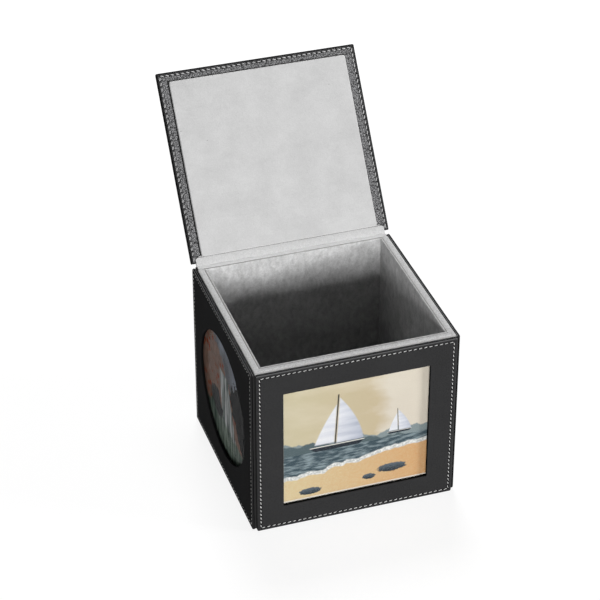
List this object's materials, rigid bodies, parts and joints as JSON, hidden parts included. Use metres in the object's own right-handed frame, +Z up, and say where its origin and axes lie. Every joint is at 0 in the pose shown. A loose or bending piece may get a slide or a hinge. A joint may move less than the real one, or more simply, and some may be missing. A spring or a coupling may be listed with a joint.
{
  "type": "photo storage box",
  "caption": "Leather-covered keepsake box with a hinged suede-lined lid; photo pockets behind a rectangular front window and round side windows.",
  "frame": {"origin": "centre of the underside", "axes": "+Z up, -Y towards the front window, +X to the right seen from the front; the lid is hinged along the back top edge"},
  "size_m": [0.152, 0.2299, 0.2503],
  "materials": {
    "leather": "matt black with a fine grain",
    "suede": "light grey suede",
    "board": "dense grey board",
    "card": "black card",
    "base_pad": "black felt",
    "clear_sheet": "clear gloss",
    "print": "semi-gloss photographic print"
  },
  "bodies": {
    "box": {"back_lining_card": "card", "back_lining_suede": "suede", "back_panel_board": "board", "back_panel_leather": "leather", "back_wall_board": "board", "base_board": "board", "base_cover": "base_pad", "base_lining_card": "card", "base_lining_suede": "suede", "core_wrap": "leather", "front_lining_card": "card", "front_lining_suede": "suede", "front_panel_board": "board", "front_panel_leather": "leather", "front_pocket_strip_bottom": "card", "front_pocket_strip_left": "card", "front_pocket_strip_right": "card", "front_print": "print", "front_rim_suede": "suede", "front_wall_board": "board", "front_window": "clear_sheet", "hinge_leather": "leather", "hinge_lining": "suede", "left_lining_card": "card", "left_lining_suede": "suede", "left_panel_board": "board", "left_panel_leather": "leather", "left_pocket_strip_bottom": "card", "left_pocket_strip_left": "card", "left_pocket_strip_right": "card", "left_print": "print", "left_rim_suede": "suede", "left_wall_board": "board", "left_window": "clear_sheet", "right_lining_card": "card", "right_lining_suede": "suede", "right_panel_board": "board", "right_panel_leather": "leather", "right_pocket_strip_bottom": "card", "right_pocket_strip_left": "card", "right_pocket_strip_right": "card", "right_print": "print", "right_rim_suede": "suede", "right_wall_board": "board", "right_window": "clear_sheet"},
    "lid": {"lid_board": "board", "lid_leather": "leather", "lid_lining_card": "card", "lid_lining_suede": "suede"}
  },
  "joints": [
    {"name": "lid_hinge", "type": "hinge", "parent": "box", "child": "lid", "pos_m": [0, 0.0705, 0.1359], "axis": [-1, 0, 0], "range_deg": [-126, 0], "deforming": ["hinge_leather", "hinge_lining"]}
  ]
}
